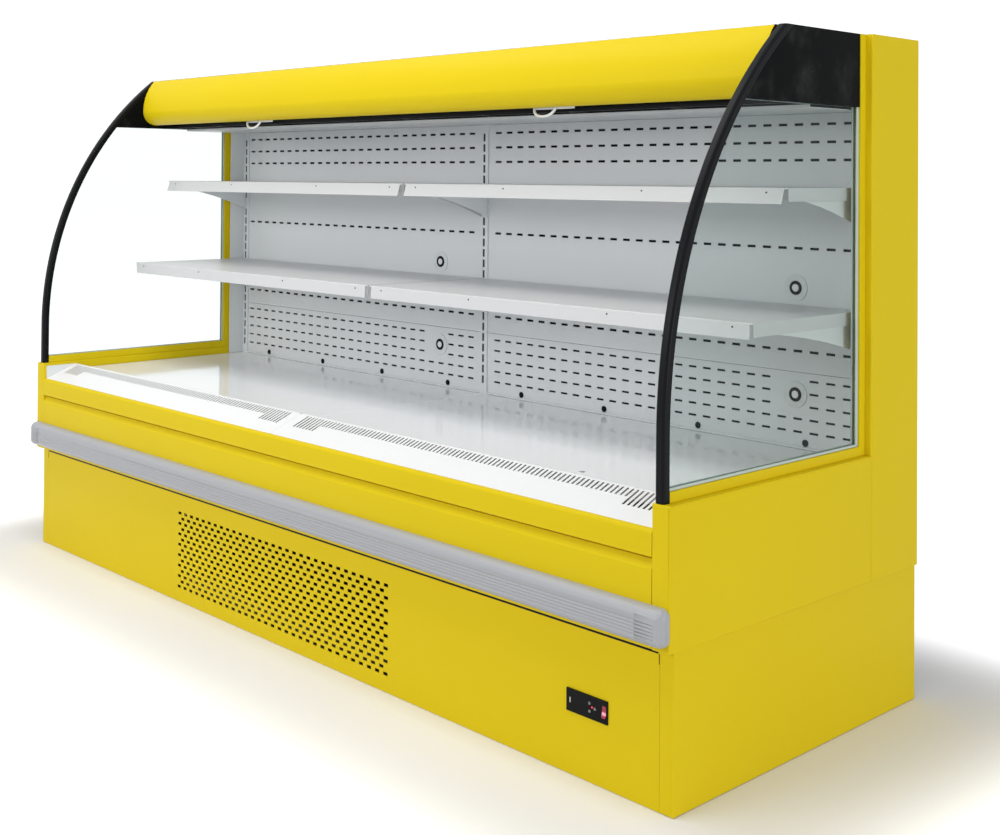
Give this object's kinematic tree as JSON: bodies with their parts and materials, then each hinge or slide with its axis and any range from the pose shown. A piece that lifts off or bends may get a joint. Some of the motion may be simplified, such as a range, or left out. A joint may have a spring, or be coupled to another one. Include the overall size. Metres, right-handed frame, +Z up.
{
  "type": "multideck display fridge",
  "caption": "Open-front multideck display fridge in yellow with curved glass ends, shelves, night curtains and a plug-in unit in its base",
  "frame": {"origin": "on the floor, under the middle of the cabinet's overall length and depth", "axes": "+X along the front to the right as seen by a customer, +Y from the front to the back, +Z up"},
  "size_m": [2.5, 0.875, 1.44],
  "materials": {
    "yellow_paint": "smooth semi-gloss yellow paint on sheet steel",
    "white_paint": "smooth white paint on sheet steel",
    "black_panel": "glossy black panel",
    "galvanised": "galvanised sheet and tube",
    "black_plastic": "satin black plastic",
    "compressor_black": "black stove enamel",
    "coil_aluminium": "mill-finish fins",
    "copper_pipe": "drawn copper",
    "key_grey": "dark key tops",
    "red_plastic": "translucent red rocker",
    "grey_plastic": "satin silver-grey extrusion",
    "clear_glass": "clear toughened glass",
    "socket_grey": "pale socket caps",
    "white_plastic": "white moulded plastic",
    "curtain_fabric": "woven night-curtain fabric"
  },
  "bodies": {
    "cabinet": {"base_frame": "galvanised", "levelling_feet": "galvanised", "base_front_panel": "yellow_paint", "base_end_panels": "yellow_paint", "base_rear_grille": "galvanised", "machine_tray": "galvanised", "compressor": "compressor_black", "condenser_coil": "coil_aluminium", "condenser_shroud": "galvanised", "refrigerant_pipes": "copper_pipe", "controller_housing": "black_plastic", "insulated_tub": "white_paint", "back_wall": "white_paint", "front_nosing": "yellow_paint", "front_fascia": "yellow_paint", "bumper_rail": "grey_plastic", "bumper_end_caps": "grey_plastic", "end_box_left": "yellow_paint", "end_box_right": "yellow_paint", "end_columns": "yellow_paint", "glass_rails": "yellow_paint", "end_glass_left": "clear_glass", "end_glass_right": "clear_glass", "glass_trim_left": "black_plastic", "glass_trim_right": "black_plastic", "canopy_ends": "black_panel", "canopy_front": "yellow_paint", "canopy_roof": "galvanised", "air_outlet": "black_plastic", "ceiling_panel": "white_paint", "shelf_uprights": "white_paint", "back_panels_upper": "white_paint", "back_panels_lower": "white_paint", "side_linings": "white_paint", "light_sockets": "socket_grey", "panel_plugs": "black_plastic", "shelf_upper_left": "white_paint", "shelf_upper_right": "white_paint", "shelf_lower_left": "white_paint", "shelf_lower_right": "white_paint", "shelf_brackets": "white_paint", "deck_pans": "white_paint", "deck_bearers": "galvanised", "return_grilles": "white_paint", "evaporator_coils": "coil_aluminium", "evaporator_fan_plates": "galvanised", "curtain_fabric_left": "curtain_fabric", "curtain_fabric_right": "curtain_fabric", "curtain_brackets": "galvanised"},
    "condenser_fan": {"condenser_impeller": "black_plastic"},
    "evaporator_fan_left": {"evaporator_impeller_left": "black_plastic"},
    "evaporator_fan_right": {"evaporator_impeller_right": "black_plastic"},
    "rocker": {"power_rocker": "red_plastic"},
    "up_key": {"key_up": "key_grey"},
    "down_key": {"key_down": "key_grey"},
    "set_key": {"key_set": "key_grey"},
    "curtain_left": {"curtain_bar_left": "white_plastic"},
    "curtain_right": {"curtain_bar_right": "white_plastic"},
    "roller_left": {"curtain_roller_left": "curtain_fabric"},
    "roller_right": {"curtain_roller_right": "curtain_fabric"}
  },
  "joints": [
    {"name": "condenser_fan_spin", "type": "hinge", "parent": "cabinet", "child": "condenser_fan", "pos_m": [0, -0.207, 0.1715], "axis": [0, 1, 0], "continuous": true},
    {"name": "evaporator_fan_left_spin", "type": "hinge", "parent": "cabinet", "child": "evaporator_fan_left", "pos_m": [-0.604, -0.147, 0.434], "axis": [0, 1, 0], "continuous": true},
    {"name": "evaporator_fan_right_spin", "type": "hinge", "parent": "cabinet", "child": "evaporator_fan_right", "pos_m": [0.604, -0.147, 0.434], "axis": [0, 1, 0], "continuous": true},
    {"name": "rocker_tilt", "type": "hinge", "parent": "cabinet", "child": "rocker", "pos_m": [1.08068, -0.393, 0.142], "axis": [1, 0, 0], "range_deg": [0, 14]},
    {"name": "up_key_press", "type": "slide", "parent": "cabinet", "child": "up_key", "axis": [0, 1, 0], "range_m": [0, 0.0006], "stiffness_N_per_m": 800, "springref_m": -0.0005},
    {"name": "down_key_press", "type": "slide", "parent": "cabinet", "child": "down_key", "axis": [0, 1, 0], "range_m": [0, 0.0006], "stiffness_N_per_m": 800, "springref_m": -0.0005},
    {"name": "set_key_press", "type": "slide", "parent": "cabinet", "child": "set_key", "axis": [0, 1, 0], "range_m": [0, 0.0006], "stiffness_N_per_m": 800, "springref_m": -0.0005},
    {"name": "curtain_left_pull", "type": "slide", "parent": "cabinet", "child": "curtain_left", "axis": [0, -0.4218, -0.9067], "range_m": [0, 0.79], "stiffness_N_per_m": 5, "springref_m": -3, "deforming": ["curtain_fabric_left"]},
    {"name": "roller_left_turn", "type": "hinge", "parent": "cabinet", "child": "roller_left", "pos_m": [-0.604, 0.0113, 1.37], "axis": [1, 0, 0], "range_deg": [0, 1700]},
    {"name": "curtain_right_pull", "type": "slide", "parent": "cabinet", "child": "curtain_right", "axis": [0, -0.4218, -0.9067], "range_m": [0, 0.79], "stiffness_N_per_m": 5, "springref_m": -3, "deforming": ["curtain_fabric_right"]},
    {"name": "roller_right_turn", "type": "hinge", "parent": "cabinet", "child": "roller_right", "pos_m": [0.604, 0.0113, 1.37], "axis": [1, 0, 0], "range_deg": [0, 1700]}
  ],
  "couplings": [
    {"joint": "roller_left_turn", "follows": "curtain_left_pull", "rad_per_m": 37.037},
    {"joint": "roller_right_turn", "follows": "curtain_right_pull", "rad_per_m": 37.037}
  ]
}
